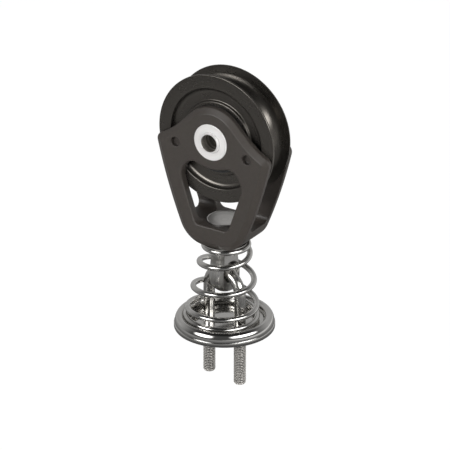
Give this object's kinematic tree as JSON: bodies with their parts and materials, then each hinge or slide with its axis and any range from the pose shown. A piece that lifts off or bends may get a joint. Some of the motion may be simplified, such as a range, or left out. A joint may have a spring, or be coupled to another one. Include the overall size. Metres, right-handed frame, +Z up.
{
  "type": "sailing block",
  "caption": "Stand-up swivel block: a grooved sheave in a forked yoke, held upright over a deck eye by a conical spring.",
  "frame": {"origin": "centre of the dish's underside, where it rests on the deck, midway between the legs", "axes": "+Z up from the deck along the swivel's axis, +Y along the sheave's axle, +X across the cheeks"},
  "size_m": [0.057, 0.0436, 0.143],
  "materials": {
    "stainless_polished": "polished stainless steel",
    "stainless_brushed": "brushed stainless steel",
    "anodised_dark": "satin hard anodised, brown black",
    "anodised_sheave": "satin hard anodised, darker and smoother",
    "acetal_black": "black bearing plastic"
  },
  "bodies": {
    "deck_eye": {"base_dish": "stainless_polished", "u_bolt": "stainless_polished", "stand_up_spring": "stainless_polished"},
    "post": {"eye_post": "stainless_brushed", "swivel_bolt": "stainless_brushed", "lower_thrust_washer": "stainless_polished"},
    "fork": {"yoke": "anodised_dark", "axle_tube": "stainless_brushed", "front_collar": "stainless_brushed", "back_collar": "stainless_brushed", "inner_race": "acetal_black", "front_thrust_ring": "acetal_black", "back_thrust_ring": "acetal_black", "swivel_bush": "acetal_black", "upper_thrust_washer": "acetal_black"},
    "rollers": {"bearing_rollers": "acetal_black"},
    "wheel": {"sheave": "anodised_sheave"}
  },
  "joints": [
    {"name": "post_tilt", "type": "hinge", "parent": "deck_eye", "child": "post", "pos_m": [0, 0, 0.026], "axis": [0.9823, -0.1874, 0], "range_deg": [-60, 60], "stiffness_Nm_per_rad": 1, "deforming": ["stand_up_spring"]},
    {"name": "yoke_swivel", "type": "hinge", "parent": "post", "child": "fork", "pos_m": [0, 0, 0.045], "axis": [0, 0, 1], "continuous": true},
    {"name": "sheave_spin", "type": "hinge", "parent": "fork", "child": "wheel", "pos_m": [0, 0, 0.08985], "axis": [0, 1, 0], "continuous": true},
    {"name": "roller_orbit", "type": "hinge", "parent": "fork", "child": "rollers", "pos_m": [0, 0, 0.08985], "axis": [0, 1, 0], "continuous": true}
  ],
  "couplings": [
    {"joint": "roller_orbit", "follows": "sheave_spin", "ratio": 0.5731}
  ]
}
